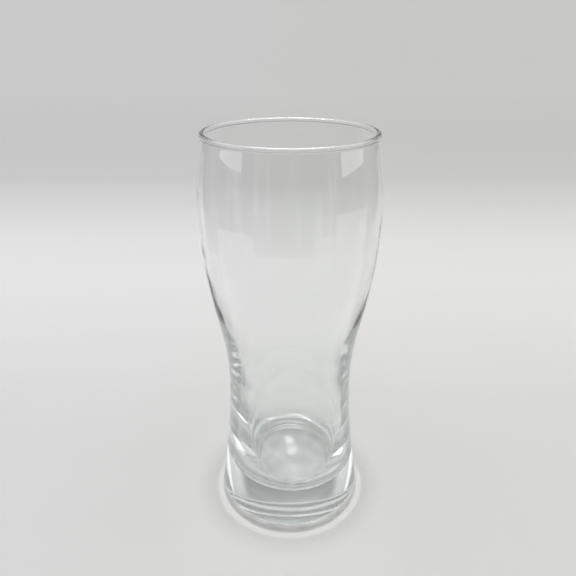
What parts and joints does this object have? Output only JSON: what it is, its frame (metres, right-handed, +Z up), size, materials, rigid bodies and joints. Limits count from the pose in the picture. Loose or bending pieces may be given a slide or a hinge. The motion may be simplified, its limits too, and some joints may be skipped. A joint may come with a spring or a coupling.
{
  "type": "pint glass",
  "caption": "Tall clear beer glass with a full upper bowl, a narrow waist, a flared solid foot and a rounded rim bead.",
  "frame": {"origin": "centre of the foot, in the plane that the glass stands on", "axes": "+Z up along the axis of the glass, towards the rim; X and Y are equivalent because the glass is round"},
  "size_m": [0.081, 0.081, 0.193],
  "materials": {
    "clear_glass": "clear, fire-polished"
  },
  "bodies": {
    "root": {"glass": "clear_glass"}
  },
  "joints": []
}
